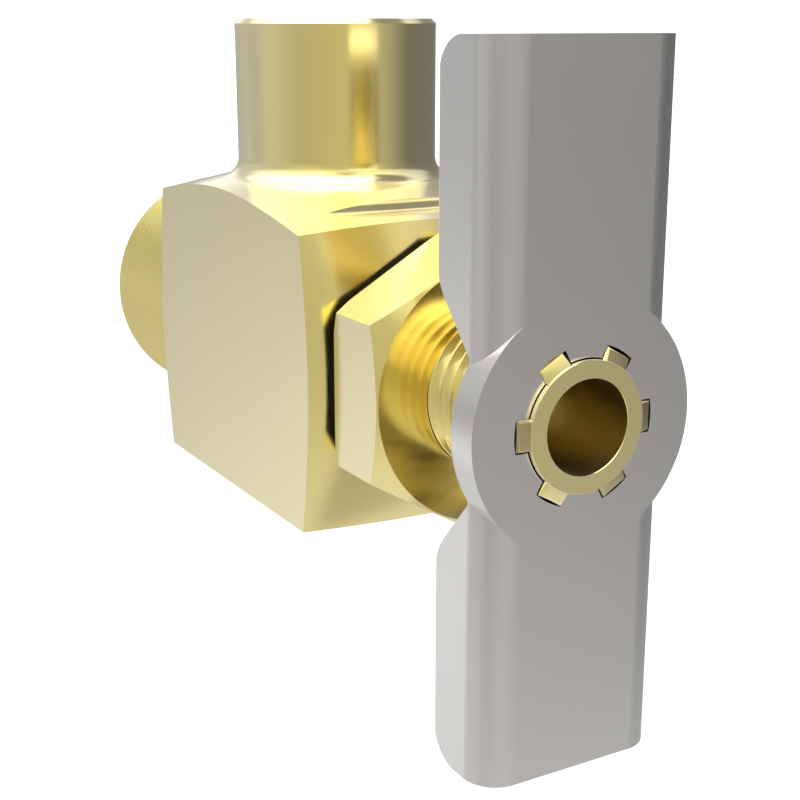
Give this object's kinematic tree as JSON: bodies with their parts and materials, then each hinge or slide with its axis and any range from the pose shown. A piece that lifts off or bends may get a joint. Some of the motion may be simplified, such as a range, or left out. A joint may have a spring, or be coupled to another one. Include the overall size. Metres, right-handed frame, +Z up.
{
  "type": "drain cock",
  "caption": "Angle drain cock with a threaded inlet, an upright plain outlet, a hexagon bonnet and a wing handle on a screw stem.",
  "frame": {"origin": "the point inside the body where the inlet's axis and the outlet's axis cross", "axes": "+Z up the outlet, +Y out of the threaded inlet, -Y towards the handle, X across the body"},
  "size_m": [0.0216, 0.0601, 0.0491],
  "materials": {
    "forged_brass": "polished yellow brass",
    "turned_brass": "polished yellow brass",
    "stem_brass": "turned yellow brass",
    "cast_handle": "satin grey die casting",
    "gasket": "matt black",
    "seal_rubber": "matt black"
  },
  "bodies": {
    "valve_body": {"body": "forged_brass", "bonnet": "turned_brass", "bonnet_gasket": "gasket"},
    "disc_carrier": {"disc_holder": "stem_brass", "seat_washer": "seal_rubber", "washer_screw": "stem_brass"},
    "stem_and_handle": {"stem": "stem_brass", "handle": "cast_handle", "stem_o_ring": "seal_rubber"}
  },
  "joints": [
    {"name": "stem_travel", "type": "slide", "parent": "valve_body", "child": "disc_carrier", "axis": [0, -1, 0], "range_m": [0, 0.0032]},
    {"name": "handle_turn", "type": "hinge", "parent": "disc_carrier", "child": "stem_and_handle", "pos_m": [0, -0.03, 0], "axis": [0, -1, 0], "range_deg": [0, 900]}
  ],
  "couplings": [
    {"joint": "stem_travel", "follows": "handle_turn", "m_per_rad": 0.00020213}
  ]
}
